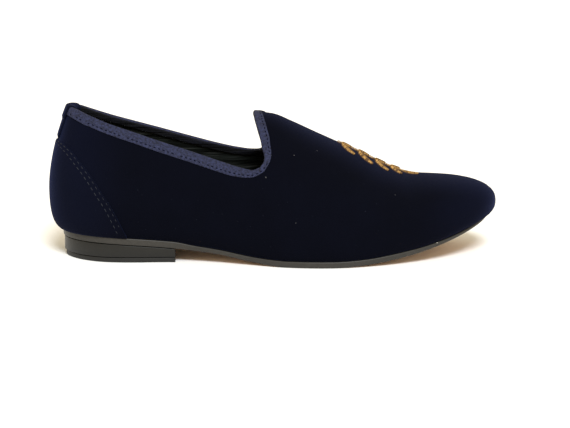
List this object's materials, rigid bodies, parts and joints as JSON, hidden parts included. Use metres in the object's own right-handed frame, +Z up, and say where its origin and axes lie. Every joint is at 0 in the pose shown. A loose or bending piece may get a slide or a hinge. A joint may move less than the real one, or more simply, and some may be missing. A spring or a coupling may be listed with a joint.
{
  "type": "velvet slipper loafer",
  "caption": "Right-foot velvet slipper loafer in dark navy with a bound topline, gold embroidery on the vamp, thin sole and low stacked heel",
  "frame": {"origin": "middle of the shoe's box, on the floor plane", "axes": "+X towards the toe, +Y towards the inner side of the foot, +Z up"},
  "size_m": [0.2922, 0.1048, 0.0989],
  "materials": {
    "velvet": "dark navy cotton velvet with short nap",
    "velvet_panel": "dark navy cotton velvet with short nap",
    "velvet_strip": "dark navy cotton velvet with short nap",
    "binding_tape": "woven blue violet grosgrain tape",
    "lining_leather": "smooth black green lining leather",
    "sole_leather": "dark dyed and waxed sole edge",
    "heel_stack": "dark dyed stacked leather",
    "heel_rubber": "dark smooth rubber"
  },
  "bodies": {
    "root": {"upper": "velvet", "heel_counter": "velvet_panel", "heel_tab": "velvet_strip", "topline_binding": "binding_tape", "insole": "lining_leather", "outsole": "sole_leather", "heel_block": "heel_stack", "heel_top_piece": "heel_rubber"}
  },
  "joints": []
}
